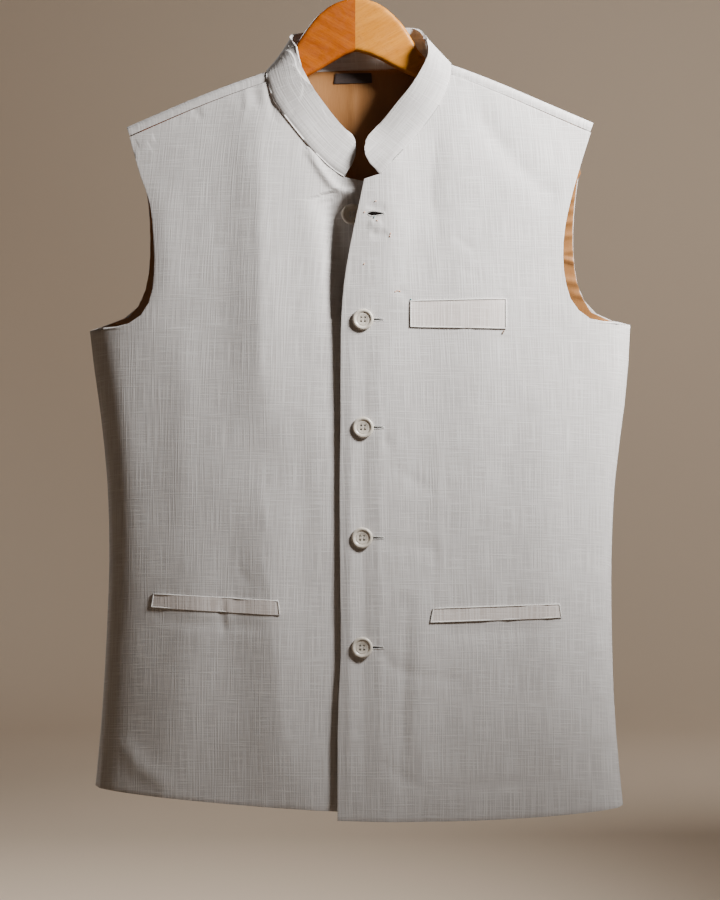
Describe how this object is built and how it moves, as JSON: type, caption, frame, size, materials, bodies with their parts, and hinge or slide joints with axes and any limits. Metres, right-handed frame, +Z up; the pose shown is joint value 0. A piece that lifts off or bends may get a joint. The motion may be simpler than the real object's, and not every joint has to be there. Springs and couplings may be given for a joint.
{
  "type": "waistcoat on a wooden hanger",
  "caption": "Sleeveless stand-collar waistcoat in grey slub linen with a lined back and welt pockets, buttoned at the front, on a wooden hanger with a wire hook.",
  "frame": {"origin": "the top point inside the hook, where it bears on a rail", "axes": "+Z up, the front facing -Y, +X to the viewer's right (the wearer's left)"},
  "size_m": [0.5132, 0.0826, 0.8397],
  "materials": {
    "linen": "matt slub linen, light grey",
    "welt_linen": "matt slub linen, a little pinker",
    "satin": "brown satin lining with a soft sheen",
    "label": "dark woven label, bare",
    "button": "cream, polished",
    "dark_wood": "orange-brown, satin varnish",
    "light_wood": "honey, satin varnish",
    "steel": "bright wire"
  },
  "bodies": {
    "root": {"front_right": "linen", "front_left": "linen", "back": "linen", "collar": "linen", "chest_welt": "welt_linen", "pocket_welt_right": "welt_linen", "pocket_welt_left": "welt_linen", "back_lining": "satin", "neck_label": "label", "button_1": "button", "button_2": "button", "button_3": "button", "button_4": "button", "button_5": "button", "hanger_arm_right": "dark_wood", "hanger_arm_left": "light_wood", "hanger_hook": "steel"}
  },
  "joints": []
}
